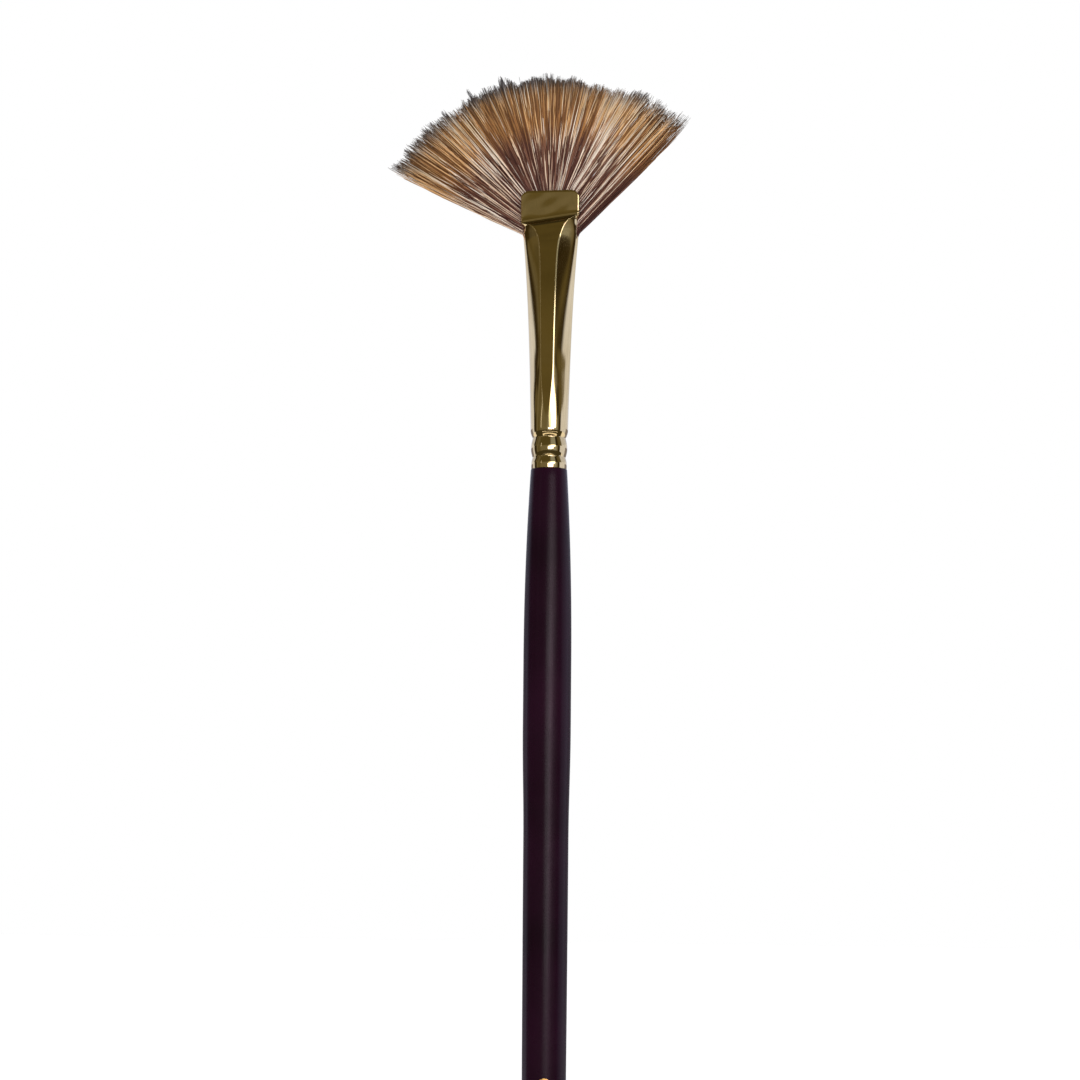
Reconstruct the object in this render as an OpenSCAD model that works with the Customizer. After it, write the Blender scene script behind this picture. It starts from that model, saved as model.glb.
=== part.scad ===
// Fan brush for painting: a lacquered wooden handle, a crimped brass ferrule pressed flat at the top,
// and a fan of hair that is bound and glued inside it.
// The origin is on the handle's axis, in the middle of the round grip. +Z runs towards the hair,
// X runs across the fan and Y through its thickness. The front face looks along -Y.

/* [Handle] */
// Radius of the round grip at the fattest part of the handle
grip_r = 4; // [3.8:0.1:4.4]
// Length of the plain round grip
grip_len = 12; // [8:1:16]
// Height of the handle's shoulder, where the ferrule starts, above the grip's middle
shoulder_z = 37.5; // [34:0.5:42]
// Radius of the handle just below the ferrule
neck_r = 3.04; // [3.02:0.01:3.2]
// Length of the handle from the grip's middle to its tail
tail_len = 216; // [120:1:240]
// Radius of the handle at its tail
tail_r = 1.9; // [1.5:0.1:2.4]
// How much the handle slims just behind the grip
waist = 0.24; // [0:0.02:0.3]
// Length over which it slims there
waist_len = 18; // [12:1:24]
// Length of the tenon that goes up into the ferrule
tenon_len = 13; // [11:0.5:15]

/* [Ferrule] */
// Length of the ferrule from the handle's shoulder to its lip
ferrule_len = 47.3; // [46:0.1:50]
// Thickness of the brass
wall = 0.3; // [0.25:0.01:0.35]
// Radius of the ferrule just above its crimps
ferrule_r = 3.18; // [3.16:0.01:3.3]
// Half width of the flat tab that the ferrule ends in
tab_half_w = 5; // [4.8:0.05:5.2]
// Half thickness of the flat tab
tab_half_t = 1.2; // [1.1:0.05:1.3]
// Height of the flat tab, from its crease to its lip
tab_len = 4.8; // [4:0.1:5.5]
// Radius of the rounded corners at the ends of the lip
lip_corner = 1.4; // [0.8:0.1:1.8]
// Depth of each side slot, measured down from the lip
slot_depth = 7.8; // [6:0.1:8.5]
// Half width of each side slot
slot_half = 0.55; // [0.5:0.05:0.65]

/* [Hair] */
// Radius of the arc that the hair's tips follow
fan_r = 35; // [32:0.1:36]
// Height of that arc's centre below the lip
fan_drop = 15.2; // [14:0.1:17]
// Sideways offset of that arc's centre
fan_shift = 0.6; // [-1.5:0.1:1.5]
// Angle of the left edge of the fan from upright
left_splay = 60; // [50:1:62]
// Angle of the right edge of the fan from upright
right_splay = 45; // [42:1:60]
// Half thickness of the fan where it leaves the ferrule
fan_half_t = 1.1; // [0.9:0.05:1.15]
// Half thickness of the fan at its tips
tip_half_t = 0.7; // [0.4:0.05:0.8]
// Radius of the bound bundle of hair roots
bundle_r = 2.2; // [2:0.05:2.3]
// Thickness of the binding thread
thread_d = 0.3; // [0.2:0.05:0.35]
// Number of turns of thread round the bundle
thread_turns = 6; // [4:1:8]

/* [Hidden] */
eps = 0.01;

// Heights, all measured from the grip's middle
lip_z = shoulder_z + ferrule_len;
crease_z = lip_z - tab_len;
barrel_z = shoulder_z + 6.7;
tenon_z = shoulder_z + tenon_len;
plug_z = tenon_z + 4;
root_z = plug_z + 2.5;
plug_top_z = root_z + 4.5;
binding_z = plug_top_z + 0.4;

// The hair bends about a line just outside the lip
pivot_rise = 1.7;
pivot_z = lip_z + pivot_rise;
fixed_hair_rise = 0.2;
clear = 0.05;
glue_gap = 0.08;

// Sampling of the lofted skins: points in a quarter of each ring
lobe_steps = 5;
facet_steps = 2;
ring_points = 4 * (lobe_steps + facet_steps);

// ---- Outline of the ferrule ----

// The crimps: height above the shoulder and radius of each ring and groove, in order
crimps = [[0, 2.96], [0.85, 3.0], [1.95, 2.79], [3.6, 3.05], [5.25, 2.79], [6.7, ferrule_r]];

function ease(t) = (1 - cos(180 * t)) / 2;

// Radius of the crimped end at height h above the shoulder: smooth waves between rings and grooves
function crimp_r(h, i = 0) =
    h <= crimps[i + 1][0] || i + 2 == len(crimps)
        ? crimps[i][1] + (crimps[i + 1][1] - crimps[i][1])
            * ease((h - crimps[i][0]) / (crimps[i + 1][0] - crimps[i][0]))
        : crimp_r(h, i + 1);

// Share of the way up the plain barrel, from the crimps to the crease
function rise(z) = (z - barrel_z) / (crease_z - barrel_z);

// Half width of the barrel, which flares from round to the tab's width
flare = tab_half_w - ferrule_r;
function barrel_a(z) = ferrule_r + flare * (0.5 * rise(z) + 0.5 * pow(rise(z), 3));

// Half thickness of the barrel before its faces are pressed, and the share of its width that they take
function barrel_b(z) = ferrule_r - 0.25 * rise(z) - 0.75 * pow(rise(z), 6);
function pressed(z) = 0.1 + 0.2 * ease(min(1, rise(z) / 0.3)) + 0.02 * rise(z) + 0.5 * pow(rise(z), 20);

// How far the barrel's section at height z has gone from round to its pressed shape
function shaped(z) = ease(min(1, rise(z) / 0.4));

// Slant of the barrel's side where it leaves the pressed face
side_slant = 34;
function slant(z) =
    let (w = pressed(z), own = atan(barrel_b(z) / barrel_a(z) * w / sqrt(1 - w * w)))
    own + (side_slant - own) * shaped(z);

// A point on the cubic curve from p to q that leaves p along u and arrives at q along v, t from 0 to 1
function bend(p, u, q, v, t) =
    p * (2 * pow(t, 3) - 3 * t * t + 1) + u * (pow(t, 3) - 2 * t * t + t)
    + q * (3 * t * t - 2 * pow(t, 3)) + v * (pow(t, 3) - t * t);

// A quarter of a ring at height z on the barrel, inset by d: the side, then the pressed face
function barrel_quarter(z, d) =
    let (w = pressed(z), edge = [barrel_a(z) - d, 0],
         ridge = [edge[0] * w, (barrel_b(z) - d) * sqrt(1 - w * w)],
         chord = norm(edge - ridge),
         start = [0, (1.15 - 0.65 * shaped(z)) * chord],
         end = (1.15 - 0.15 * shaped(z)) * chord * [-cos(slant(z)), sin(slant(z))])
    concat([for (i = [0:lobe_steps]) bend(edge, start, ridge, end, i / lobe_steps)],
           [for (i = [1:facet_steps]) [ridge[0] * (1 - i / facet_steps), ridge[1]]]);

// A quarter of a round ring
function round_quarter(r) =
    [for (i = [0:lobe_steps + facet_steps])
        let (turn = 90 * i / (lobe_steps + facet_steps)) [r * cos(turn), r * sin(turn)]];

// A quarter of the tab, a rounded rectangle
tab_corner = 0.55;
function tab_quarter(d, half_w = tab_half_w) =
    let (c = tab_corner - d, a = half_w - d, b = tab_half_t - d)
    concat([[a, 0]],
           [for (i = [0:lobe_steps - 1]) let (turn = 90 * i / (lobe_steps - 1))
               [a - c + c * cos(turn), b - c + c * sin(turn)]],
           [for (i = [1:facet_steps]) [(a - c) * (1 - i / facet_steps), b]]);

// A whole ring from its first quarter, which runs from the +X side round to the +Y side
function ring(quarter, z) =
    let (last = len(quarter) - 1)
    [for (p = concat(
        [for (i = [0:last - 1]) quarter[i]],
        [for (i = [last:-1:1]) [-quarter[i][0], quarter[i][1]]],
        [for (i = [0:last - 1]) -quarter[i]],
        [for (i = [last:-1:1]) [quarter[i][0], -quarter[i][1]]])) [p[0], p[1], z]];

// Heights of the rings: close together over the crimps and below the crease
crimp_heights = [for (i = [0:13]) shoulder_z + (barrel_z - shoulder_z) * i / 14];
barrel_heights = [for (i = [0:11]) barrel_z + (crease_z - 0.2 - barrel_z) * pow(i / 11, 0.7)];

function skin(d) = concat(
    [for (z = crimp_heights) ring(round_quarter(crimp_r(z - shoulder_z) - d), z)],
    [for (z = barrel_heights) ring(barrel_quarter(z, d), z)],
    [ring(tab_quarter(d), crease_z + 0.1), ring(tab_quarter(d), lip_z)]);

// A closed solid through a stack of rings
module loft(rings) {
    n = len(rings[0]);
    last = len(rings) - 1;
    points = [for (r = rings) for (p = r) p];
    bottom = [[for (i = [0:n - 1]) i]];
    top = [[for (i = [n - 1:-1:0]) last * n + i]];
    sides = [for (k = [0:last - 1]) for (i = [0:n - 1]) let (j = (i + 1) % n)
        for (face = [[k * n + i, (k + 1) * n + i, (k + 1) * n + j], [k * n + i, (k + 1) * n + j, k * n + j]])
            face];
    polyhedron(points = points, faces = concat(bottom, top, sides), convexity = 6);
}

// ---- Handle ----

function neck(z) = let (s = (z - grip_len / 2) / (shoulder_z - grip_len / 2))
    grip_r - (grip_r - neck_r) * s * s;

function taper(z) = let (s = -z - grip_len / 2)
    grip_r - waist * ease(min(1, s / waist_len))
    - (grip_r - waist - tail_r) * pow(s / (tail_len - grip_len / 2), 2.2);

// Radius of the tenon, which follows the crimps inside the ferrule and then stays plain
tenon_r = crimp_r(crimps[2][0]) - wall - glue_gap;
function tenon_at(z) = z < barrel_z - 1 ? crimp_r(z - shoulder_z) - wall - glue_gap : tenon_r;

// Heights of the points along the crimped stretch of the tenon, which its glue shares
tenon_steps = 14;
tenon_top = barrel_z - 1.7;
tenon_heights = [for (i = [0:tenon_steps]) shoulder_z + (tenon_top - shoulder_z) * i / tenon_steps];

module handle() {
    neck_steps = 12;
    tail_steps = 20;
    neck_points = [for (i = [1:neck_steps])
        let (z = grip_len / 2 + (shoulder_z - grip_len / 2) * i / neck_steps) [neck(z), z]];
    tenon_points = [for (z = tenon_heights) [tenon_at(z), z]];
    tail_cap_z = tail_r - tail_len;
    tail_points = [for (i = [tail_steps:-1:1])
        let (z = -grip_len / 2 + (tail_cap_z + grip_len / 2) * i / tail_steps) [taper(z), z]];
    cap_r = taper(tail_cap_z);
    cap_steps = 7;
    cap_points = [for (i = [0:cap_steps - 1])
        let (turn = 90 * i / cap_steps) [cap_r * sin(turn), tail_cap_z - tail_r * cos(turn)]];
    color([0.17, 0.05, 0.11])
        rotate_extrude($fn = 96)
            polygon(concat(cap_points, tail_points, [[grip_r, -grip_len / 2], [grip_r, grip_len / 2]],
                           neck_points, tenon_points,
                           [[tenon_r, tenon_z - 0.5], [tenon_r - 0.5, tenon_z], [0, tenon_z]]));
}

// ---- Ferrule ----

// A side slot, open at the lip and round at its bottom; side is 1 on the right and -1 on the left
module side_slot(side) {
    depth = slot_depth - slot_half;
    x = side * (tab_half_w - 0.8);
    translate([side > 0 ? x : x - 3, -slot_half, lip_z - depth])
        cube([3, 2 * slot_half, depth + 1]);
    translate([side > 0 ? x : x - 3, 0, lip_z - depth])
        rotate([0, 90, 0])
            cylinder(r = slot_half, h = 3, $fn = 32);
}

// What is cut off a corner of the lip to round it
module lip_corner_cut(side) {
    x = side * (tab_half_w - lip_corner);
    z = lip_z - lip_corner;
    rotate([90, 0, 0])
        linear_extrude(4 * tab_half_t, center = true)
            difference() {
                translate([side > 0 ? x : x - lip_corner - 1, z])
                    square(lip_corner + 1);
                translate([x, z])
                    circle(lip_corner, $fn = 48);
            }
}

module ferrule() {
    color([0.62, 0.48, 0.18])
        difference() {
            loft(skin(0));
            loft(concat([ring(round_quarter(crimp_r(0) - wall), shoulder_z - 1)], skin(wall),
                        [ring(tab_quarter(wall), lip_z + 1)]));
            for (side = [-1, 1]) {
                side_slot(side);
                lip_corner_cut(side);
            }
        }
}

// ---- Glue, binding and hair roots inside the ferrule ----

// The ferrule's skin has flat facets, so round things inside it stay within the facets' middles
facet_fit = cos(180 / ring_points);

module tenon_glue() {
    outer = [for (i = [1:tenon_steps]) let (z = tenon_heights[i])
        [(crimp_r(z - shoulder_z) - wall) * facet_fit - eps, z]];
    inner = [for (i = [tenon_steps:-1:1]) [tenon_at(tenon_heights[i]) + eps, tenon_heights[i]]];
    color([0.85, 0.78, 0.55])
        rotate_extrude($fn = 96)
            polygon(concat(outer, inner));
}

// A stack of rings that fills the inside of the barrel between two heights
function fill(low_z, high_z, steps) =
    [for (i = [0:steps])
        let (z = low_z + (high_z - low_z) * i / steps) ring(barrel_quarter(z, wall + clear), z)];

module glue_plug() {
    color([0.80, 0.66, 0.36])
        difference() {
            loft(fill(plug_z, plug_top_z, 4));
            translate([0, 0, root_z])
                cylinder(r = bundle_r + eps, h = plug_top_z - root_z + 1, $fn = 64);
        }
}

module root_binding() {
    color([0.92, 0.90, 0.84])
        for (i = [0:thread_turns - 1])
            translate([0, 0, binding_z + thread_d * (i + 0.5)])
                rotate_extrude($fn = 64)
                    translate([bundle_r + thread_d / 2, 0])
                        circle(d = thread_d - eps, $fn = 24);
}

// The bundle of roots is round where it is bound, and spreads to the flat mouth above the binding
module hair_root() {
    spread_z = binding_z + thread_d * thread_turns + 0.3;
    steps = 8;
    round_part = [for (z = [root_z, spread_z]) ring(round_quarter(bundle_r), z)];
    spread_part = [for (i = [1:steps])
        let (t = i / steps, z = spread_z + (crease_z - 0.4 - spread_z) * t,
             wide = barrel_quarter(z, wall + clear), narrow = round_quarter(bundle_r))
        ring([for (k = [0:len(wide) - 1]) narrow[k] * (1 - ease(t)) + wide[k] * ease(t) * 0.94], z)];
    mouth_part = [for (z = [crease_z + 0.2, lip_z - lip_corner]) ring(tab_quarter(wall + clear), z)];
    lip_part = [for (z = [lip_z, lip_z + fixed_hair_rise])
        ring(tab_quarter(wall + clear, tab_half_w - 1.1), z)];
    color([0.50, 0.34, 0.29])
        loft(concat(round_part, spread_part, mouth_part, lip_part));
}

// ---- The fan of hair ----

// The fan seen from the front, between two heights and to one side of the tab or across it
module fan_outline(low_z, high_z) {
    foot_z = lip_z - slot_depth + 0.3;
    reach = 2 * fan_r;
    intersection() {
        translate([fan_shift, lip_z - fan_drop])
            circle(fan_r, $fn = 180);
        polygon([[-tab_half_w, foot_z],
                 [-tab_half_w - reach * sin(left_splay), foot_z + reach * cos(left_splay)],
                 [-reach, 2 * reach], [reach, 2 * reach],
                 [tab_half_w + reach * sin(right_splay), foot_z + reach * cos(right_splay)],
                 [tab_half_w, foot_z]]);
        translate([-reach, low_z])
            square([2 * reach, high_z - low_z]);
    }
}

// The hair that leaves by a side slot, up to where it can bend; side is 1 on the right and -1 on the left
module hair_wing(side) {
    inner_x = tab_half_w - wall + clear;
    color([0.62, 0.46, 0.34])
        rotate([90, 0, 0])
            linear_extrude(2 * (slot_half - 0.1), center = true)
                intersection() {
                    fan_outline(lip_z - slot_depth, lip_z + fixed_hair_rise);
                    translate([side > 0 ? inner_x : -inner_x - 50, 0])
                        square([50, 200]);
                }
}

module hair_wing_left() {
    hair_wing(-1);
}

module hair_wing_right() {
    hair_wing(1);
}

// The free fan. It thins towards its tips, and its foot is round about the line that it bends about.
module hair_fan() {
    top = fan_r - fan_drop - pivot_rise + 1;
    shoulder = fan_half_t - 0.03;
    color([0.66, 0.47, 0.30])
        intersection() {
            rotate([90, 0, 0])
                linear_extrude(4 * fan_half_t, center = true)
                    fan_outline(pivot_z - 2 * fan_half_t, lip_z + fan_r);
            translate([0, 0, pivot_z])
                rotate([90, 0, 90])
                    linear_extrude(4 * fan_r, center = true) {
                        circle(fan_half_t, $fn = 64);
                        polygon([[-shoulder, 0], [shoulder, 0], [tip_half_t, top], [-tip_half_t, top]]);
                    }
        }
}

handle();
ferrule();
tenon_glue();
glue_plug();
root_binding();
hair_root();
hair_wing_left();
hair_wing_right();
hair_fan();
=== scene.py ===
import math

import bmesh
import bpy
import numpy as np
from mathutils import Matrix, Vector


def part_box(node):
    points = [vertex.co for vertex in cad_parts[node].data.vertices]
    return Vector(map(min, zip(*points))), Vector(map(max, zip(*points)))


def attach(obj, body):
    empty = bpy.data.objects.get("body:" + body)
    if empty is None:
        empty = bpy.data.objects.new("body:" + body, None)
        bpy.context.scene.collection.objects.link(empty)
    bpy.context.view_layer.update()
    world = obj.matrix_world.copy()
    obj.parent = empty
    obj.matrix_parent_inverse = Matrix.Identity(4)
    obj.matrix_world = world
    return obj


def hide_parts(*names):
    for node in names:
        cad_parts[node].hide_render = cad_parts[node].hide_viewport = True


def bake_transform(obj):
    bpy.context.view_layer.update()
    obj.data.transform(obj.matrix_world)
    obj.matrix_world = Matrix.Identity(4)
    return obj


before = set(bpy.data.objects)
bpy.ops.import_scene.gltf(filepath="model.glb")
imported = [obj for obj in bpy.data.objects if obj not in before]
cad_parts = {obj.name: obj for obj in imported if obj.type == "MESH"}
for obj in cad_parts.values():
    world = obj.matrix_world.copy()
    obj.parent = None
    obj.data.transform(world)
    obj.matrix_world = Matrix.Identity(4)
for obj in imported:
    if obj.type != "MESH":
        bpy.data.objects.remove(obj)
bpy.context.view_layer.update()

# A fan brush for painting. Lengths are in millimetres until a mesh is made, and Z runs towards the hair.
MM = 0.001


def corners(node):
    """The lowest and highest corners of a CAD node, in millimetres."""
    low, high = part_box(node)
    return low / MM, high / MM


# ---- Driving sizes, from the frame ----

ferrule_low, ferrule_high = corners("ferrule")
handle_low, handle_high = corners("handle")
SHOULDER_Z = ferrule_low.z
LIP_Z = ferrule_high.z
TAB_HALF_W = ferrule_high.x
BARREL_R = ferrule_high.y
GRIP_R = handle_high.y
TAIL_Z = handle_low.z
TENON_Z = handle_high.z

# The ferrule's brass and flat tab, which is slotted at its sides and flares a little towards its lip
WALL = 0.3
GLUE_GAP = 0.08
TAB_HALF_T = 1.2
TAB_FLARE = 0.1
TAB_CORNER = 0.3
TAB_LEN = 4.8
LIP_CORNER = 1.4
CREASE_Z = LIP_Z - TAB_LEN
BARREL_Z = SHOULDER_Z + 6.7
SLOT_DEPTH = 7.8
SLOT_HALF = 0.55
TAB_SLOT_HALF = 0.85
SLOT_Z = LIP_Z - SLOT_DEPTH

# The handle's plain grip, the neck above it, and the waist and taper below it
GRIP_HALF = 6.0
NECK_R = 3.04
TAIL_R = 1.9
WAIST = 0.24
WAIST_LEN = 18.0

# The arc that the hair's tips follow, seen from the front
FAN_R = 35.0
FAN_X = 0.6
FAN_Z = LIP_Z - 15.2


def ease(t):
    """A smooth step from 0 to 1."""
    t = np.clip(t, 0.0, 1.0)
    return t * t * (3 - 2 * t)


# ---- Camera ----

FRAME_HEIGHT = 180.5
LENS = 100.0
SENSOR = 36.0
AIM_Z = 25.6
AIM_RIGHT = -1.4
AZIMUTH = math.radians(10)
ELEVATION = math.radians(-6)
ROLL = math.radians(0.5)


def add_camera():
    """The camera, a little to the right of the brush's front and a little below its aim."""
    distance = FRAME_HEIGHT * LENS / SENSOR
    back = Vector((math.sin(AZIMUTH) * math.cos(ELEVATION), -math.cos(AZIMUTH) * math.cos(ELEVATION),
                   math.sin(ELEVATION)))
    right = Vector((math.cos(AZIMUTH), math.sin(AZIMUTH), 0))
    aim = Vector((0, 0, AIM_Z)) + right * AIM_RIGHT
    data = bpy.data.cameras.new("camera")
    data.lens = LENS
    data.sensor_width = SENSOR
    data.clip_start = 0.01
    data.clip_end = 50
    camera = bpy.data.objects.new("camera", data)
    bpy.context.scene.collection.objects.link(camera)
    camera.location = (aim + back * distance) * MM
    turn = (-back).to_track_quat("-Z", "Y").to_matrix() @ Matrix.Rotation(ROLL, 3, "Z")
    camera.rotation_euler = turn.to_euler()
    bpy.context.scene.camera = camera


# ---- Materials ----


class Nodes:
    """A material's node tree, with short calls for the nodes used here."""

    def __init__(self, name):
        self.material = bpy.data.materials.new(name)
        self.material.use_nodes = True
        self.tree = self.material.node_tree
        self.shader = self.tree.nodes["Principled BSDF"]

    def add(self, kind, links=None, **values):
        node = self.tree.nodes.new(kind)
        for key, value in values.items():
            setattr(node, key, value)
        for socket, source in (links or {}).items():
            self.join(source, node.inputs[socket])
        return node

    def join(self, source, target):
        if isinstance(source, bpy.types.NodeSocket):
            self.tree.links.new(source, target)
        else:
            target.default_value = source

    def set(self, **values):
        for key, value in values.items():
            self.join(value, self.shader.inputs[key.replace("_", " ")])

    def place(self, scale):
        """Positions on the object, in metres, stretched by scale."""
        where = self.add("ShaderNodeTexCoord").outputs["Object"]
        return self.add("ShaderNodeMapping", {"Vector": where, "Scale": scale}).outputs["Vector"]

    def noise(self, scale, detail=3.0, roughness=0.5, stretch=(1, 1, 1)):
        links = {"Vector": self.place(stretch), "Scale": scale, "Detail": detail, "Roughness": roughness}
        return self.add("ShaderNodeTexNoise", links).outputs["Fac"]

    def ramp(self, factor, *stops):
        node = self.add("ShaderNodeValToRGB", {"Fac": factor})
        while len(node.color_ramp.elements) < len(stops):
            node.color_ramp.elements.new(0.5)
        for element, (position, colour) in zip(node.color_ramp.elements, stops):
            element.position = position
            element.color = (*colour, 1) if len(colour) == 3 else colour
        return node.outputs["Color"]

    def span(self, factor, low, high, to_low, to_high):
        links = {0: factor, 1: low, 2: high, 3: to_low, 4: to_high}
        return self.add("ShaderNodeMapRange", links).outputs["Result"]

    def maths(self, operation, a, b=0.0):
        return self.add("ShaderNodeMath", {0: a, 1: b}, operation=operation).outputs["Value"]

    def mix(self, factor, a, b, blend="MIX"):
        node = self.add("ShaderNodeMix", data_type="RGBA", blend_type=blend)
        self.join(factor, node.inputs["Factor"])
        self.join(a, node.inputs[6])
        self.join(b, node.inputs[7])
        return node.outputs[2]

    def bump(self, height, strength, distance):
        links = {"Height": height, "Strength": strength, "Distance": distance}
        self.set(Normal=self.add("ShaderNodeBump", links).outputs["Normal"])


def colour(red, green, blue):
    """A linear colour from screen values out of 255."""
    shares = np.array((red, green, blue)) / 255
    return tuple(np.where(shares < 0.0404, shares / 12.92, ((shares + 0.055) / 1.055) ** 2.4).tolist())


def lacquer_material():
    n = Nodes("burgundy_lacquer")
    cloud = n.noise(60, 4)
    tint = n.ramp(cloud, (0.3, colour(20, 3, 14)), (0.7, colour(32, 6, 24)))
    grain = n.noise(900, 3, 0.6, stretch=(1, 1, 0.06))
    n.set(Base_Color=tint, Roughness=n.span(n.noise(220, 5, 0.65), 0.3, 0.75, 0.24, 0.32))
    n.set(Specular_IOR_Level=0.12)
    n.bump(grain, 0.12, 0.0001)
    return n.material


def wood_material():
    n = Nodes("bare_wood")
    grain = n.noise(700, 5, 0.6, stretch=(1, 1, 0.05))
    n.set(Base_Color=n.ramp(grain, (0.3, colour(176, 132, 84)), (0.7, colour(222, 188, 138))), Roughness=0.7)
    n.bump(grain, 0.3, 0.0001)
    return n.material


def brass_material():
    n = Nodes("gold_brass")
    tarnish = n.noise(130, 5, 0.6)
    tint = n.ramp(tarnish, (0.35, colour(212, 188, 142)), (0.7, colour(224, 202, 158)))
    scratches = n.noise(2600, 2, 0.5, stretch=(1, 1, 0.05))
    smudges = n.noise(240, 4, 0.6)
    n.set(Base_Color=tint, Metallic=1.0, Roughness=n.span(smudges, 0.3, 0.75, 0.05, 0.1))
    n.bump(scratches, 0.05, 0.00005)
    return n.material


def foil_material():
    n = Nodes("gold_foil")
    flecks = n.noise(5000, 2)
    n.set(Base_Color=n.ramp(flecks, (0.3, colour(196, 150, 82)), (0.7, colour(228, 186, 112))))
    n.set(Metallic=1.0, Roughness=n.span(flecks, 0.3, 0.7, 0.25, 0.45))
    return n.material


def resin_material():
    n = Nodes("set_resin")
    cloud = n.noise(500, 3)
    n.set(Base_Color=n.ramp(cloud, (0.3, colour(168, 124, 58)), (0.7, colour(206, 164, 92))), Roughness=0.25)
    n.bump(cloud, 0.2, 0.0001)
    return n.material


def thread_material():
    n = Nodes("waxed_thread")
    ply = n.noise(9000, 2, 0.5, stretch=(1, 1, 3))
    n.set(Base_Color=n.ramp(ply, (0.3, colour(206, 198, 176)), (0.7, colour(240, 236, 222))), Roughness=0.6)
    n.bump(ply, 0.5, 0.00005)
    return n.material


HAIR_MAP = "OFBake"
HAIR_SHADES = 24

# The share of strands that each family has, and its colours from root to tip; the dark roots of the first two
# families are partly the hair's own colour and partly painted shade between the strands
HAIR_FAMILIES = [
    (0.5, [(0.0, (70, 38, 32)), (0.42, (86, 50, 38)), (0.6, (118, 76, 42)), (0.88, (114, 78, 46)),
            (0.95, (86, 72, 62)), (1.0, (66, 61, 63))]),
    (0.29, [(0.0, (118, 78, 64)), (0.4, (134, 92, 70)), (0.58, (172, 120, 68)), (0.88, (176, 130, 82)),
            (0.95, (124, 108, 94)), (1.0, (92, 86, 87))]),
    (0.14, [(0.0, (212, 184, 160)), (0.45, (218, 190, 162)), (0.62, (210, 166, 114)), (0.86, (206, 164, 116)),
            (0.94, (160, 142, 126)), (1.0, (110, 103, 104))]),
    (0.07, [(0.0, (234, 218, 202)), (0.6, (232, 214, 194)), (0.78, (222, 194, 156)), (0.92, (204, 192, 178)),
            (1.0, (164, 160, 160))]),
]


def hair_material():
    """Each strand runs up one column of the map, so its colour is set by its shade and its height."""
    n = Nodes("banded_hair")
    where = n.add("ShaderNodeUVMap", uv_map=HAIR_MAP).outputs["UV"]
    split = n.add("ShaderNodeSeparateXYZ", {"Vector": where})
    shade = n.maths("FLOOR", n.maths("MULTIPLY", split.outputs["X"], HAIR_SHADES))

    def chance(seed):
        links = {"Vector": n.add("ShaderNodeCombineXYZ", {"X": shade, "Y": seed}).outputs["Vector"]}
        return n.add("ShaderNodeTexWhiteNoise", links, noise_dimensions="3D").outputs["Value"]

    along = n.maths("ADD", split.outputs["Y"], n.span(chance(1.0), 0, 1, -0.05, 0.05))
    mixed, limit = None, 0.0
    for share, stops in HAIR_FAMILIES:
        ramp = n.ramp(along, *((position, colour(*tone)) for position, tone in stops))
        edge = n.maths("GREATER_THAN", shade, limit * HAIR_SHADES - 0.5)
        mixed = ramp if mixed is None else n.mix(edge, mixed, ramp)
        limit += share
    value = n.span(chance(3.0), 0, 1, 0.82, 1.15)
    shift = n.add("ShaderNodeHueSaturation", {"Color": mixed, "Value": value})
    n.set(Base_Color=shift.outputs["Color"], Roughness=0.5, Specular_IOR_Level=0.25)
    return n.material


# ---- Meshes ----


def new_piece(name, mesh, *materials):
    piece = bpy.data.objects.new(name, mesh)
    bpy.context.scene.collection.objects.link(piece)
    for material in materials:
        mesh.materials.append(material)
    return piece


def grid_faces(rows, columns, closed):
    """Quads of a grid of points, row by row; closed joins the last column to the first."""
    last = columns if closed else columns - 1
    return [(r * columns + c, r * columns + (c + 1) % columns,
             (r + 1) * columns + (c + 1) % columns, (r + 1) * columns + c)
            for r in range(rows - 1) for c in range(last)]


def mesh_of(name, points, faces, smooth=True):
    mesh = bpy.data.meshes.new(name)
    mesh.from_pydata((np.asarray(points, float) * MM).tolist(), [], faces)
    mesh.polygons.foreach_set("use_smooth", np.full(len(mesh.polygons), smooth))
    mesh.update()
    return mesh


# ---- Handle ----

CRIMPS = np.array([[0, 2.96], [0.85, 3.0], [1.95, 2.77], [3.6, 3.06], [5.25, 2.77], [6.7, BARREL_R]])


def crimp_radius(z):
    """Radius of the ferrule's crimped end, in smooth waves between its rings and grooves."""
    height = np.clip(z - SHOULDER_Z, 0, CRIMPS[-1, 0])
    i = np.clip(np.searchsorted(CRIMPS[:, 0], height) - 1, 0, len(CRIMPS) - 2)
    low, high = CRIMPS[i], CRIMPS[i + 1]
    share = (height - low[..., 0]) / (high[..., 0] - low[..., 0])
    swell = np.where(high[..., 1] > low[..., 1], np.sin(np.pi / 2 * share), 1 - np.cos(np.pi / 2 * share))
    return low[..., 1] + (high[..., 1] - low[..., 1]) * swell


def handle_radius(z):
    """Radius of the lacquered handle: a flared neck, a plain grip, a slight waist and a long taper."""
    above = np.clip((z - GRIP_HALF) / (SHOULDER_Z - GRIP_HALF), 0, 1)
    below = np.clip(-z - GRIP_HALF, 0, None)
    return (GRIP_R - (GRIP_R - NECK_R) * above ** 2
            - WAIST * (1 - np.cos(np.pi * np.clip(below / WAIST_LEN, 0, 1))) / 2
            - (GRIP_R - WAIST - TAIL_R) * (below / (-TAIL_Z - GRIP_HALF)) ** 2.2)


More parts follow.
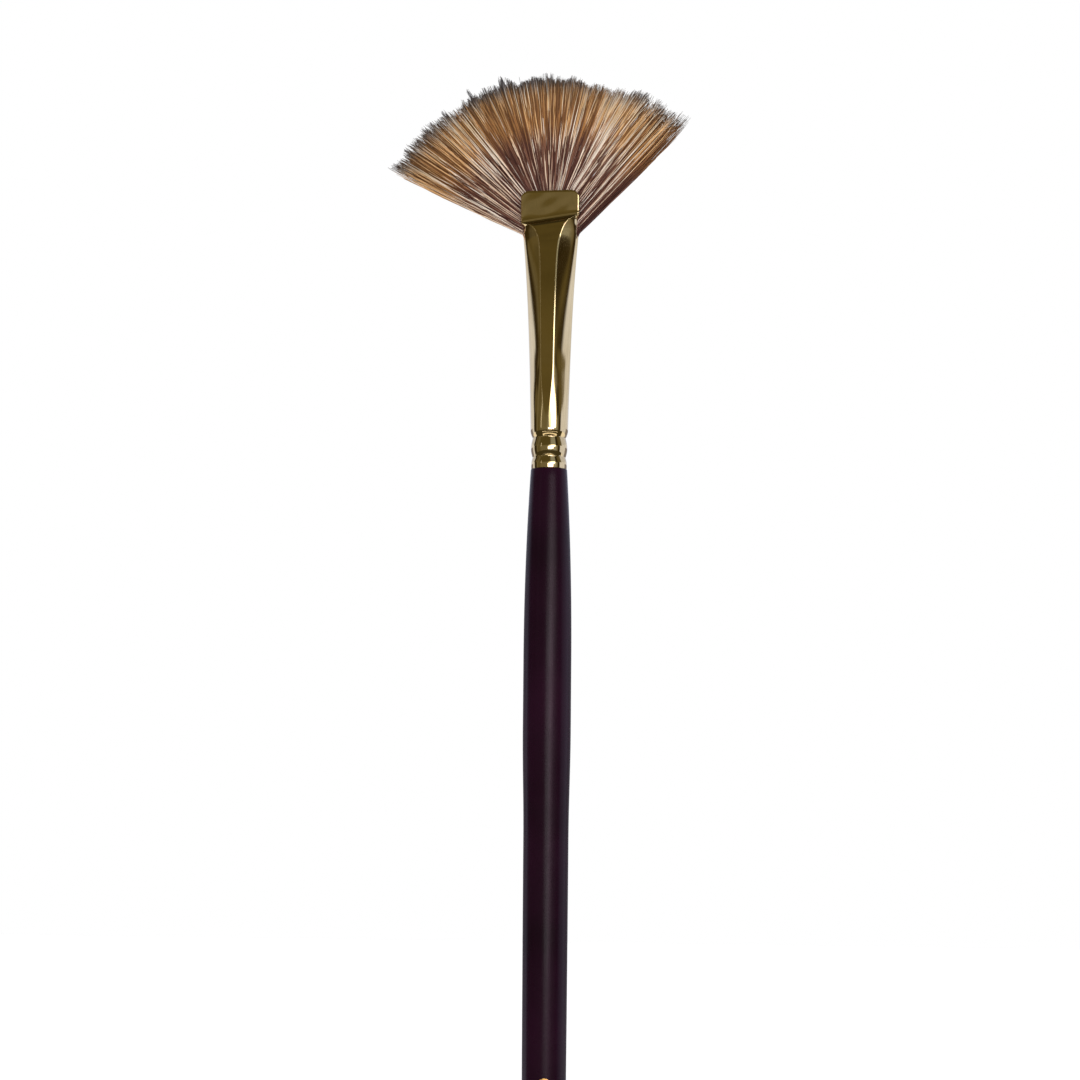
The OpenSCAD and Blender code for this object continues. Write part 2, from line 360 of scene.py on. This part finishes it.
def handle_profile():
    """(radius, height) from the tail to the top of the tenon, and the index where the lacquer ends."""
    cap_z = TAIL_Z + TAIL_R
    cap_r = handle_radius(np.array(cap_z))
    turns = np.linspace(0, math.pi / 2, 16)[1:-1]
    cap = [(cap_r * math.sin(t), cap_z - TAIL_R * math.cos(t)) for t in turns]
    edge = 0.16
    heights = np.linspace(cap_z, SHOULDER_Z - edge, 200)
    body = [(float(handle_radius(z)), z) for z in heights]
    rim_r = NECK_R - edge
    rim = [(rim_r + edge * math.cos(t), SHOULDER_Z - edge + edge * math.sin(t))
           for t in np.linspace(0, math.pi / 2, 6)[1:]]
    inset = WALL + GLUE_GAP
    tenon_r = CRIMPS[2, 1] - inset
    crimped = [(float(crimp_radius(z)) - inset, z) for z in np.linspace(SHOULDER_Z, BARREL_Z - 1.7, 24)]
    top = [(tenon_r, TENON_Z - 0.5), (tenon_r - 0.5, TENON_Z)]
    return cap + body + rim + crimped + top, len(cap) + len(body) + len(rim)


def add_handle():
    sides = 128
    profile, bare_from = handle_profile()
    turns = np.linspace(0, 2 * math.pi, sides, endpoint=False)
    points = [(r * math.cos(t), r * math.sin(t), z) for r, z in profile for t in turns]
    faces = grid_faces(len(profile), sides, closed=True)
    tail, top = len(points), len(points) + 1
    points += [(0, 0, TAIL_Z), (0, 0, TENON_Z)]
    last = (len(profile) - 1) * sides
    faces += [(tail, (c + 1) % sides, c) for c in range(sides)]
    faces += [(top, last + c, last + (c + 1) % sides) for c in range(sides)]
    mesh = mesh_of("lacquered_handle", points, faces)
    piece = new_piece("lacquered_handle", mesh, lacquer_material(), wood_material())
    for face in mesh.polygons:
        if min(face.vertices) >= bare_from * sides or top in face.vertices:
            face.material_index = 1
    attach(piece, "brush")
    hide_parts("handle")


def add_foil_mark(material):
    """A plain dot, line and dot of foil, laid on the handle and facing the front."""
    thick = 0.012
    facing = AZIMUTH - math.pi / 2
    bm = bmesh.new()

    def lay(outline_rings):
        """outline_rings are rings of flat (across, height) points, from the outside in, all of one length."""
        layers = []
        for lift in (0.004, thick):
            rows = []
            for ring in outline_rings:
                row = []
                for across, z in ring:
                    r = float(handle_radius(np.array(z))) + lift
                    t = facing + across / r
                    row.append(bm.verts.new((r * math.cos(t) * MM, r * math.sin(t) * MM, z * MM)))
                rows.append(row)
            layers.append(rows)
        count = len(outline_rings[0])
        for rows, flip in ((layers[0], True), (layers[1], False)):
            for outer, inner in zip(rows, rows[1:]):
                for i in range(count):
                    quad = [outer[i], outer[(i + 1) % count], inner[(i + 1) % count], inner[i]]
                    bm.faces.new(reversed(quad) if flip else quad)
            bm.faces.new(reversed(rows[-1]) if flip else rows[-1])
        low, high = layers[0][0], layers[1][0]
        for i in range(count):
            j = (i + 1) % count
            bm.faces.new((low[i], low[j], high[j], high[i]))

    def dot(radius, z, steps=48):
        turns = np.linspace(0, 2 * math.pi, steps, endpoint=False)
        rings = [radius * k for k in (1, 0.66, 0.33)]
        lay([[(r * math.cos(t), z + r * math.sin(t)) for t in turns] for r in rings])

    def line(half_w, low, high, steps=24):
        heights = np.linspace(low, high, steps)
        lay([[(w, z) for z in heights] + [(-w, z) for z in heights[::-1]] for w in (half_w, half_w / 2)])

    dot(1.25, -64.2)
    line(0.3, -105.4, -67.9)
    dot(0.7, -108.0)
    mesh = bpy.data.meshes.new("foil_mark")
    bm.to_mesh(mesh)
    bm.free()
    piece = new_piece("foil_mark", mesh, material)
    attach(piece, "brush")


# ---- Ferrule ----

LOBE_STEPS = 28
FACE_STEPS = 16
SLANT = math.radians(34)
BACK_SHIFT = 0.4
CREASE_SKEW = 0.128


def slot_gap(z):
    """Half the height of the side slot's opening at height z, round at its bottom and wider in the tab."""
    if z <= SLOT_Z:
        return 0.0
    depth = max(0.0, SLOT_Z + SLOT_HALF - z)
    wider = (TAB_SLOT_HALF - SLOT_HALF) * float(ease((z - CREASE_Z) / 0.8))
    return math.sqrt(max(0.0, SLOT_HALF ** 2 - depth ** 2)) + wider


def bend(start, start_pull, end, end_pull, t):
    """A cubic curve between two points, t from 0 to 1, that leaves and arrives along the given pulls."""
    t = t[:, None]
    return (np.multiply(start, 2 * t ** 3 - 3 * t ** 2 + 1) + np.multiply(start_pull, t ** 3 - 2 * t ** 2 + t)
            + np.multiply(end, 3 * t ** 2 - 2 * t ** 3) + np.multiply(end_pull, t ** 3 - t ** 2))


def barrel_quarter(z):
    """A quarter of the barrel's section at height z, from the slot's edge to the middle of the face."""
    rise = float(np.clip((z - BARREL_Z) / (CREASE_Z - BARREL_Z), 0, 1))
    round_r = float(crimp_radius(np.array(z)))
    a = round_r + (TAB_HALF_W - BARREL_R) * (0.5 * rise + 0.5 * rise ** 3)
    b = round_r - 0.25 * rise - 0.75 * rise ** 6
    pressed = 0.1 + 0.2 * float(ease(rise / 0.3)) + 0.02 * rise + 0.5 * rise ** 20
    ridge = np.array([a * pressed, b * math.sqrt(1 - pressed ** 2)])
    own_slant = math.atan(b / a * pressed / math.sqrt(1 - pressed ** 2))
    shaped = float(ease(rise / 0.4))
    slant = own_slant + (SLANT - own_slant) * shaped
    chord = math.hypot(a - ridge[0], ridge[1])
    arrive = (1.15 - 0.15 * shaped) * chord
    curve = ((a, 0), (0, (1.15 - 0.65 * shaped) * chord), ridge,
             (-arrive * math.cos(slant), arrive * math.sin(slant)))
    steps = np.linspace(0, 1, 200)
    first = np.interp(slot_gap(z), bend(*curve, steps)[:, 1], steps)
    side = bend(*curve, np.linspace(first, 1, LOBE_STEPS + 1))
    x = ridge[0] * (1 - np.arange(1, FACE_STEPS + 1) / FACE_STEPS)
    curved = b * np.sqrt(1 - (x / a) ** 2)
    flatness = float(ease(rise / 0.15))
    return np.concatenate([side, np.stack([x, curved + (ridge[1] - curved) * flatness], 1)])


def tab_quarter(z):
    """A quarter of the flat tab's section: a rounded rectangle."""
    turns = np.linspace(0, math.pi / 2, LOBE_STEPS)
    corner = np.stack([TAB_HALF_W - TAB_CORNER + TAB_CORNER * np.cos(turns),
                       TAB_HALF_T - TAB_CORNER + TAB_CORNER * np.sin(turns)], 1)
    x = (TAB_HALF_W - TAB_CORNER) * (1 - np.arange(1, FACE_STEPS + 1) / FACE_STEPS)
    face = np.stack([x, np.full(FACE_STEPS, TAB_HALF_T)], 1)
    return np.concatenate([[[TAB_HALF_W, slot_gap(z)]], corner, face])


def ferrule_quarter(z):
    share = float(ease((z - CREASE_Z + 0.7) / 0.9))
    points = barrel_quarter(z) * (1 - share) + tab_quarter(z) * share
    swell = 0.1 * math.exp(-((z - CREASE_Z + 0.9) / 0.7) ** 2)
    groove = 0.07 * math.exp(-((z - CREASE_Z - 0.1) / 0.13) ** 2)
    points[:, 1] += (swell - groove) * ease((points[:, 1] - SLOT_HALF) / 0.4)
    return points


def soften(points, passes):
    """Rounds the ridges of a half section by averaging each point with its neighbours."""
    for _ in range(passes):
        points[1:-1] = (points[:-2] + 2 * points[1:-1] + points[2:]) / 4
    return points


def ferrule_heights():
    return np.concatenate([
        np.linspace(SHOULDER_Z, BARREL_Z, 60, endpoint=False),
        np.linspace(BARREL_Z, SLOT_Z, 64, endpoint=False),
        SLOT_Z + SLOT_HALF * (1 - np.cos(np.linspace(0, math.pi / 2, 9)))[:-1],
        np.linspace(SLOT_Z + SLOT_HALF, CREASE_Z + 0.4, 34, endpoint=False),
        np.linspace(CREASE_Z + 0.4, LIP_Z, 14)])


def ferrule_half(side):
    """The outer skin of the front (side -1) or back (side 1) half, row by row, from the right to the left."""
    rows = []
    for z in ferrule_heights():
        quarter = ferrule_quarter(z)
        half = np.concatenate([quarter, (quarter * (-1, 1))[-2::-1]])
        half = soften(half, 2)
        x, y = half[:, 0], half[:, 1]
        corner = np.clip(np.abs(x) - TAB_HALF_W + LIP_CORNER, 0, LIP_CORNER)
        drop = LIP_CORNER - np.sqrt(LIP_CORNER ** 2 - corner ** 2)
        height = np.full_like(x, z) - drop * np.clip((z - CREASE_Z) / TAB_LEN, 0, 1)
        if side == 1:
            x = x + BACK_SHIFT * float(ease((z - CREASE_Z) / 1.2)) * ease((x - TAB_HALF_W + 1.5) / 1.2)
        near = ease((z - CREASE_Z + 4) / 4) * (1 - ease((z - CREASE_Z) / TAB_LEN))
        height += CREASE_SKEW * x * near
        dent = 0.007 * np.sin(z * 1.1 + x * 0.7) + 0.004 * np.sin(z * 2.3 - x * 1.3 + 1)
        dent += TAB_FLARE * (2 * (z - CREASE_Z) / TAB_LEN - 1)
        y = y + dent * ease((z - CREASE_Z + 1) / 2) * ease((y - SLOT_HALF) / 0.5)
        rows.append(np.stack([x, y * side, height], 1))
    return np.array(rows)


def add_ferrule(material):
    points, faces = [], []
    for side in (-1, 1):
        rows = ferrule_half(side)
        count, columns = rows.shape[:2]
        quads = grid_faces(count, columns, closed=False)
        offset = len(points)
        faces += [tuple(offset + i for i in (q if side == 1 else q[::-1])) for q in quads]
        points += rows.reshape(-1, 3).tolist()
    mesh = mesh_of("brass_ferrule", points, faces)
    bm = bmesh.new()
    bm.from_mesh(mesh)
    bmesh.ops.remove_doubles(bm, verts=bm.verts, dist=1e-6)
    bm.to_mesh(mesh)
    bm.free()
    piece = new_piece("brass_ferrule", mesh, material)
    shell = piece.modifiers.new("wall", "SOLIDIFY")
    shell.thickness = WALL * MM
    shell.offset = -1
    shell.use_even_offset = True
    rim = piece.modifiers.new("rim", "BEVEL")
    rim.width = 0.07 * MM
    rim.segments = 2
    rim.limit_method = "ANGLE"
    rim.angle_limit = math.radians(60)
    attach(piece, "brush")
    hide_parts("ferrule")


# ---- Hair ----

LEFT_SPLAY = -62.0
RIGHT_SPLAY = 45.0
LIP_SPLAY = 37.0
MOUTH_HALF_W = 4.3
STRANDS = 6600
STRAY = 0.25
CLUMPS = 240
RINGS = 13
SIDES = 3
PALE_FROM = 0.78

# How much paler the hair is (its last stop, much darker at the fan's lower right edge, is painted shadow), how
# far its tips fall short of their arc and how far the arc is from round, each at the splays of its first row
PALENESS_AND_EDGE_SHADOW = ([-60, -45, -30, -12, 4, 14, 26, 38, 43, 46],
           [0.02, 0.0, -0.07, -0.1, -0.1, 0.0, 0.08, 0.05, -0.02, -0.3])
THINNING = ([-60, -45, -25, -12, 4, 12, 22, 45],
            [1.2, 1.2, 0.9, 0.6, 0.7, 1.0, 1.4, 1.1])
UNEVENNESS = ([-60, -52, -46, -38, -22, -14, 2, 18, 26, 34],
              [-0.7, 0.1, 0.4, 0.0, 0.4, 0.3, -0.2, -0.5, -0.9, 0.0])
rng = np.random.default_rng(11)


def mouths(splay):
    """Where hair of each splay leaves the ferrule, as (across, height): by the lip or a side slot."""
    left = np.clip((-splay - LIP_SPLAY) / (-LEFT_SPLAY - LIP_SPLAY), 0, 1)
    right = np.clip((splay - LIP_SPLAY) / (RIGHT_SPLAY - LIP_SPLAY), 0, 1)
    x = MOUTH_HALF_W * np.clip(splay / LIP_SPLAY, -1, 1) - 0.5 * ease(left * 8) + 0.5 * ease(right * 8)
    z = LIP_Z - 0.3 - (SLOT_DEPTH - 0.9) * np.maximum(left, right)
    return x, z


def reach(x, z, splay):
    """Distance from (x, z) to the arc of the tips, in the direction of splay."""
    turn = np.radians(splay)
    along = (x - FAN_X) * np.sin(turn) + (z - FAN_Z) * np.cos(turn)
    square = (x - FAN_X) ** 2 + (z - FAN_Z) ** 2
    return -along + np.sqrt(along ** 2 - square + FAN_R ** 2)


def strand_lines():
    """Every strand's centre line, radius and map height at each of its rings, and its splay and shade."""
    # Tips gather into small clumps, some of them a little longer than the rest
    place = (np.arange(CLUMPS) + rng.uniform(0, 1, CLUMPS)) / CLUMPS
    order = LEFT_SPLAY + (RIGHT_SPLAY - LEFT_SPLAY) * place
    clump_x, clump_z = mouths(order)
    longer = rng.normal(-0.1, 0.3, CLUMPS) + 0.2 * np.sin(order * 0.2 + 1.3) + 0.2 * np.sin(order * 0.47 + 4)
    longer += np.where(rng.random(CLUMPS) < 0.1, rng.uniform(0.4, 1.3, CLUMPS), 0)
    clump_len = reach(clump_x, clump_z, order) + np.interp(order, *UNEVENNESS) + longer
    clump_y = rng.uniform(-0.5, 0.5, CLUMPS)
    turn = np.radians(order)
    clump_tip = np.stack([clump_x + clump_len * np.sin(turn), clump_y, clump_z + clump_len * np.cos(turn)], 1)

    # Most strands belong to a clump, and the rest stray across the others and stop short
    clump = rng.integers(0, CLUMPS, STRANDS)
    stray = rng.random(STRANDS) < STRAY
    splay = order[clump] + rng.normal(0, 1, STRANDS) * np.where(stray, 2.5, 0.8)
    splay = np.clip(splay, LEFT_SPLAY - 1, RIGHT_SPLAY + 1)

    # Shades run from dark to pale, and gather in streaks and in wider patches; the dark patch at the right
    # edge is painted shadow
    paleness_and_edge_shadow = np.interp(splay, *PALENESS_AND_EDGE_SHADOW)
    streak = rng.normal(0, 0.12, CLUMPS)[clump]
    shade = np.floor(np.clip(rng.random(STRANDS) + paleness_and_edge_shadow + streak, 0, 0.999) * HAIR_SHADES)
    pale = shade >= PALE_FROM * HAIR_SHADES

    # Pale hair comes to the outside of the fan towards its tips
    x0, z0 = mouths(splay)
    root_y = rng.uniform(-1, 1, STRANDS)
    sideways = ease((np.abs(splay) - LIP_SPLAY + 2) / 4)
    root = np.stack([x0, root_y * (0.78 - 0.3 * sideways), z0], 1)
    free = splay + rng.normal(0, 1, STRANDS) * np.where(stray, 2.6, 0.7)
    free = np.radians(np.clip(free, LEFT_SPLAY - 1.5, RIGHT_SPLAY + 1.5))
    length = reach(x0, z0, np.degrees(free)) + np.interp(splay, *UNEVENNESS) + longer[clump]
    length -= np.abs(rng.normal(0, 1, STRANDS)) * np.interp(splay, *THINNING)
    length *= np.where(stray, rng.uniform(0.6, 0.97, STRANDS), 1.0)
    aim = root + np.stack([length * np.sin(free), 0 * x0, length * np.cos(free)], 1)
    outer = np.sign(root_y) * (0.7 + 0.3 * np.abs(root_y))
    aim[:, 1] = 0.6 * np.where(pale, outer, root_y)
    share = np.broadcast_to(np.linspace(0, 1, RINGS), (STRANDS, RINGS))
    line = root[:, None] + (aim - root)[:, None] * share[..., None]
    tip = clump_tip[clump] + rng.normal(0, (0.05, 0.15, 0.05), (STRANDS, 3))
    pull = (0.12 * share ** 2 + 0.4 * share ** 9) * np.where(stray, 0, 1)[:, None]
    gap = tip - aim
    ahead = np.stack([np.sin(free), 0 * free, np.cos(free)], 1)
    gap -= 0.85 * (gap * ahead).sum(1, keepdims=True) * ahead
    line += gap[:, None] * pull[..., None]

    # Slow waves let the strands pass over and under each other
    across = np.stack([np.cos(free), 0 * free, -np.sin(free)], 1)
    middle = share * (1 - share) * 4

    def each(low, high):
        return rng.uniform(low, high, STRANDS)[:, None]

    wave = middle * np.sin(share * each(4, 11) + each(0, 6.3))
    line += (wave * rng.normal(0, 0.08, STRANDS)[:, None])[..., None] * across[:, None]
    wave = middle * np.sin(share * each(5, 14) + each(0, 6.3))
    line[:, :, 1] += wave * each(0.04, 0.16)

    # Two more rings run back into the ferrule
    inner = line[:, 0] + np.stack([-0.12 * x0, 0 * x0, np.full(STRANDS, -1.6)], 1)
    deep = inner + np.stack([-0.06 * x0, 0 * x0, np.full(STRANDS, -2.4)], 1)
    line = np.concatenate([deep[:, None], inner[:, None], line], 1)
    thick = rng.uniform(0.06, 0.085, STRANDS) * np.where(pale, 1.25, 1)
    swell = np.interp(np.linspace(0, 1, RINGS), [0, 0.12, 0.6, 0.85, 1], [0.75, 0.9, 1.0, 0.85, 0.35])
    swell = np.concatenate([[0.6, 0.7], swell])
    height = share * (length / reach(x0, z0, np.degrees(free)))[:, None]
    height = np.concatenate([np.zeros((STRANDS, 2)), height], 1)

    return line, thick[:, None] * swell, height, splay, shade


def strand_mesh(name, line, radius, height, shade):
    """Tapered tubes along the given lines, closed at both ends, mapped one column to each shade."""
    count, rings = line.shape[:2]
    ahead = np.gradient(line, axis=1)
    ahead /= np.linalg.norm(ahead, axis=2, keepdims=True)
    across = np.cross(ahead, (0.0, 1.0, 0.0))
    across /= np.linalg.norm(across, axis=2, keepdims=True)
    up = np.cross(across, ahead)
    turns = np.arange(SIDES) * 2 * math.pi / SIDES + rng.uniform(0, 2 * math.pi, count)[:, None]
    ring = (np.cos(turns)[:, None, :, None] * across[:, :, None, :]
            + np.sin(turns)[:, None, :, None] * up[:, :, None, :])
    points = line[:, :, None, :] + ring * radius[:, :, None, None]
    vertices = points.reshape(-1, 3) * MM

    base = (np.arange(count) * rings * SIDES)[:, None, None]
    row = (np.arange(rings - 1) * SIDES)[None, :, None]
    here = np.arange(SIDES)[None, None, :]
    there = (here + 1) % SIDES
    quads = np.stack([base + row + here, base + row + there, base + row + SIDES + there,
                      base + row + SIDES + here], -1).reshape(-1, 4)
    ends = np.arange(count)[:, None] * rings * SIDES
    root_caps = ends + np.array([[2, 1, 0]])
    tip_caps = ends + (rings - 1) * SIDES + np.array([[0, 1, 2]])
    loops = np.concatenate([quads.ravel(), root_caps.ravel(), tip_caps.ravel()])
    sizes = np.concatenate([np.full(len(quads), 4), np.full(2 * count, 3)])

    mesh = bpy.data.meshes.new(name)
    mesh.vertices.add(len(vertices))
    mesh.vertices.foreach_set("co", vertices.ravel())
    mesh.loops.add(len(loops))
    mesh.loops.foreach_set("vertex_index", loops.astype(np.int32))
    mesh.polygons.add(len(sizes))
    starts = np.concatenate([[0], np.cumsum(sizes)[:-1]])
    mesh.polygons.foreach_set("loop_start", starts.astype(np.int32))
    mesh.update(calc_edges=True)
    mesh.polygons.foreach_set("use_smooth", np.ones(len(sizes), bool))

    column = (shade[:, None, None] + 0.08 + 0.84 * here / SIDES) / HAIR_SHADES
    beyond = (shade[:, None, None] + 0.08 + 0.84 * (here + 1) / SIDES) / HAIR_SHADES
    column, beyond = (np.broadcast_to(c, (count, rings - 1, SIDES)) for c in (column, beyond))
    low = np.broadcast_to(height[:, :-1, None], column.shape)
    high = np.broadcast_to(height[:, 1:, None], column.shape)
    quad_map = np.stack([column, low, beyond, low, beyond, high, column, high], -1).reshape(-1)
    middle = (shade + 0.5) / HAIR_SHADES
    root_map = np.stack([middle, np.zeros(count)], 1).repeat(3, 0).ravel()
    tip_map = np.stack([middle, height[:, -1]], 1).repeat(3, 0).ravel()
    layer = mesh.uv_layers.new(name=HAIR_MAP)
    layer.data.foreach_set("uv", np.concatenate([quad_map, root_map, tip_map]).astype(np.float32))
    mesh.validate()
    return mesh


def add_hair(material):
    line, radius, height, splay, shade = strand_lines()
    sectors = {"hair_left": (-90, -34, ["hair_wing_left"]), "hair_middle_left": (-34, -8, ["hair_fan"]),
               "hair_middle_right": (-8, 18, ["hair_root"]), "hair_right": (18, 90, ["hair_wing_right"])}
    for name, (low, high, nodes) in sectors.items():
        here = (splay >= low) & (splay < high)
        mesh = strand_mesh(name, line[here], radius[here], height[here], shade[here])
        piece = new_piece(name, mesh, material)
        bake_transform(piece)
        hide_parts(*nodes)


# ---- Stage and lights ----


def glow_material(name, tone):
    """Plain even light of one tone."""
    n = Nodes(name)
    n.set(Base_Color=(0, 0, 0, 1), Specular_IOR_Level=0, Emission_Strength=1.0, Emission_Color=(*tone, 1))
    return n.material


# Painted reflections: the brass mirrors a glowing wall that only reflections see, painted in bands of the
# tones
# that the brass is to show: cream behind the brush, a dark flag to each side of it, and olive and tan in
# front.
# A stop is (turn in degrees to the right of the camera, tone as the brass shows it).
CREAM = (186, 172, 148)
DARK = (42, 30, 8)
OLIVE = (76, 60, 24)
TAN = (96, 80, 46)
BUFF = (134, 122, 90)
LOWER_WALL_REFLECTIONS = [
    (-180, CREAM), (-110, CREAM), (-105, DARK), (-90, DARK), (-80, TAN), (-70, OLIVE), (-50, TAN),
    (-15, TAN), (0, BUFF), (40, BUFF), (55, TAN), (60, DARK), (70, DARK), (75, CREAM), (180, CREAM),
]
UPPER_WALL_REFLECTIONS = [
    (-180, CREAM), (-115, CREAM), (-110, DARK), (-100, DARK), (-95, TAN), (-90, OLIVE), (-75, TAN),
    (-60, OLIVE), (5, OLIVE), (15, BUFF), (40, BUFF), (45, DARK), (55, DARK), (60, OLIVE), (85, TAN),
    (90, CREAM), (180, CREAM),
]
BRASS_TINT = colour(218, 195, 150)


def wall_material():
    """Painted reflections: glow that changes round the wall and up it, with soft mottling, each tone divided
    by the brass's tint.
    """
    n = Nodes("painted_reflection_wall")
    split = n.add("ShaderNodeSeparateXYZ", {"Vector": n.add("ShaderNodeUVMap", uv_map="wall").outputs["UV"]})

    def tones(stops):
        return n.ramp(split.outputs["X"], *(((turn + 180) / 360, tuple(np.divide(colour(*tone), BRASS_TINT)))
                                            for turn, tone in stops))

    limits = {0: split.outputs["Y"], 1: 0.272, 2: 0.288}
    upward = n.add("ShaderNodeMapRange", limits, interpolation_type="SMOOTHSTEP").outputs["Result"]
    mixed = n.mix(upward, tones(LOWER_WALL_REFLECTIONS), tones(UPPER_WALL_REFLECTIONS))
    cloud = n.ramp(n.noise(14, 5, 0.65), (0.3, (0.8, 0.8, 0.75)), (0.7, (1.25, 1.25, 1.25)))
    paler = n.span(split.outputs["Y"], 0.3, 0.37, 1.2, 1.0)
    n.set(Base_Color=(0, 0, 0, 1), Specular_IOR_Level=0, Emission_Strength=paler)
    n.set(Emission_Color=n.mix(1.0, mixed, cloud, "MULTIPLY"))
    return n.material


def floor_material():
    n = Nodes("pale_floor")
    n.set(Base_Color=n.ramp(n.noise(3, 2), (0.3, (0.9, 0.9, 0.9)), (0.7, (0.92, 0.92, 0.92))), Roughness=0.9)
    n.set(Emission_Color=(1, 1, 1, 1), Emission_Strength=0.16)
    return n.material


def add_floor():
    half = 6000
    points = [(x * half, y * half, TAIL_Z - 0.3) for x, y in ((-1, -1), (1, -1), (1, 1), (-1, 1))]
    new_piece("floor", mesh_of("floor", points, [(0, 1, 2, 3)]), floor_material())


def bearing(turn):
    """The angle in the floor's plane of a turn in degrees to the right of the camera."""
    return math.radians(turn) + AZIMUTH - math.pi / 2


WALL_R = 1300.0
WALL_TOP = 1500.0


def add_panel(name, turns, rings, material):
    """A curved panel round the brush that only reflections see; rings are its (radius, height) edges."""
    angles = np.linspace(*turns, 73)
    points = [(r * math.cos(bearing(t)), r * math.sin(bearing(t)), z) for r, z in rings for t in angles]
    mesh = mesh_of(name, points, grid_faces(len(rings), len(angles), closed=False))
    layer = mesh.uv_layers.new(name="wall")
    for loop in mesh.loops:
        turn, height = angles[loop.vertex_index % len(angles)], points[loop.vertex_index][2]
        layer.data[loop.index].uv = ((turn + 180) / 360, height / 1000)
    panel = new_piece(name, mesh, material)
    panel.visible_camera = False
    panel.visible_diffuse = False
    panel.visible_shadow = False
    panel.visible_transmission = False


def add_light(name, turn, height, size, radiance, distance=1100.0, glossy=True):
    """A softbox of even brightness, at a turn in degrees to the right of the camera, aimed at the brush."""
    place = Vector((distance * math.cos(bearing(turn)), distance * math.sin(bearing(turn)), height))
    data = bpy.data.lights.new(name, "AREA")
    data.shape = "RECTANGLE"
    data.size = size[0] * MM
    data.size_y = size[1] * MM
    data.energy = radiance * math.pi * data.size * data.size_y
    light = bpy.data.objects.new(name, data)
    bpy.context.scene.collection.objects.link(light)
    light.location = place * MM
    light.rotation_euler = (Vector((0, 0, 60)) - place).to_track_quat("-Z", "Y").to_euler()
    light.visible_camera = False
    light.visible_glossy = glossy


def add_studio():
    add_floor()
    low_z = TAIL_Z - 0.2
    edge = WALL_R - 10
    # Painted reflections: every panel below glows in a tone set for what the brass and lacquer are to show,
    # and only reflections see it.
    skirt = glow_material("skirt", (0.3, 0.29, 0.34))
    glint = glow_material("glint", (1.3, 1.2, 1.0))
    add_panel("wall", (-180, 180), ((WALL_R, -300), (WALL_R, WALL_TOP)), wall_material())
    add_panel("ceiling", (-120, 120), ((1, WALL_TOP), (WALL_R, WALL_TOP)),
              glow_material("ceiling", (0.045, 0.037, 0.016)))
    add_panel("apron", (-100, 90), ((60, low_z), (WALL_R, low_z)),
              glow_material("apron", (0.065, 0.054, 0.024)))
    add_panel("right_skirt", (120, 180), ((edge, -200), (edge, 190)), skirt)
    add_panel("left_skirt", (-180, -124), ((edge, -200), (edge, 190)), skirt)
    # Painted highlights: stripe along the ferrule's ridge, handle_stripe down the handle, and the two glint
    # strips on the crimps.
    add_panel("stripe", (0, 42), ((edge, 200), (edge, 312)), glow_material("stripe", (1.9, 1.8, 1.5)))
    add_panel("handle_stripe", (9, 27), ((edge, -70), (edge, 186)),
              glow_material("handle_stripe", (6.3, 4.4, 5.4)))
    for inner in (380, 590):
        add_panel("glint", (-48, 56), ((inner, low_z + 1), (inner + 60, low_z + 1)), glint)
    add_light("key_light", 24, 200, (580, 180), 2.6)
    add_light("upper_light", 24, 700, (580, 820), 2.6, glossy=False)
    add_light("handle_light", 5, 20, (420, 240), 4.6)
    add_light("side_light", -52, 300, (60, 300), 0.8)
    world = bpy.data.worlds.new("studio")
    world.use_nodes = True
    world.node_tree.nodes["Background"].inputs["Color"].default_value = (1, 1, 1, 1)
    world.node_tree.nodes["Background"].inputs["Strength"].default_value = 1.0
    scene = bpy.context.scene
    scene.world = world
    scene.view_settings.view_transform = "Standard"
    scene.view_settings.look = "None"


# ---- The brush ----

add_camera()
add_studio()
brass = brass_material()
add_handle()
add_foil_mark(foil_material())
add_ferrule(brass)
add_hair(hair_material())

resin = resin_material()
for name, finish in (("tenon_glue", resin), ("glue_plug", resin), ("root_binding", thread_material())):
    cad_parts[name].material_slots[0].material = finish
